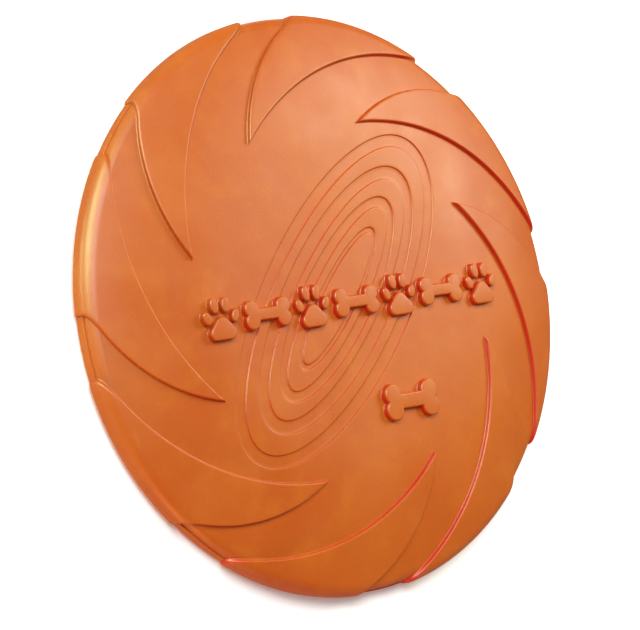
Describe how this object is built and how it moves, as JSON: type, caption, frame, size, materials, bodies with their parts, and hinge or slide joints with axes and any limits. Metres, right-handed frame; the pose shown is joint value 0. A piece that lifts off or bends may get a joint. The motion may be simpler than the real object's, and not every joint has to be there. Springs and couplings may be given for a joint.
{
  "type": "flying disc",
  "caption": "Flexible rubber flying disc for throw and fetch games: closed domed crown, rolled rim and raised turbine vanes that wrap over the edge.",
  "frame": {"origin": "on the floor under the centre of the crown, in the plane of the rim's foot", "axes": "+Z along the spin axis with the crown upwards; +X along the emblem row, turned about 9 degrees clockwise from it"},
  "size_m": [0.18, 0.18, 0.0182],
  "materials": {
    "crown_rubber": "matte satin natural rubber, orange",
    "rim_rubber": "matte satin natural rubber, orange",
    "vane_rubber": "matte satin natural rubber, orange",
    "emblem_rubber": "matte satin natural rubber, orange"
  },
  "bodies": {
    "root": {"flight_plate": "crown_rubber", "rim_wall": "rim_rubber", "rim_band": "rim_rubber", "vane_1": "vane_rubber", "vane_2": "vane_rubber", "vane_3": "vane_rubber", "vane_4": "vane_rubber", "vane_5": "vane_rubber", "vane_6": "vane_rubber", "vane_7": "vane_rubber", "vane_8": "vane_rubber", "paw_print_1": "emblem_rubber", "paw_print_2": "emblem_rubber", "paw_print_3": "emblem_rubber", "paw_print_4": "emblem_rubber", "bone_1": "emblem_rubber", "bone_2": "emblem_rubber", "bone_3": "emblem_rubber", "lone_bone": "emblem_rubber"}
  },
  "joints": []
}
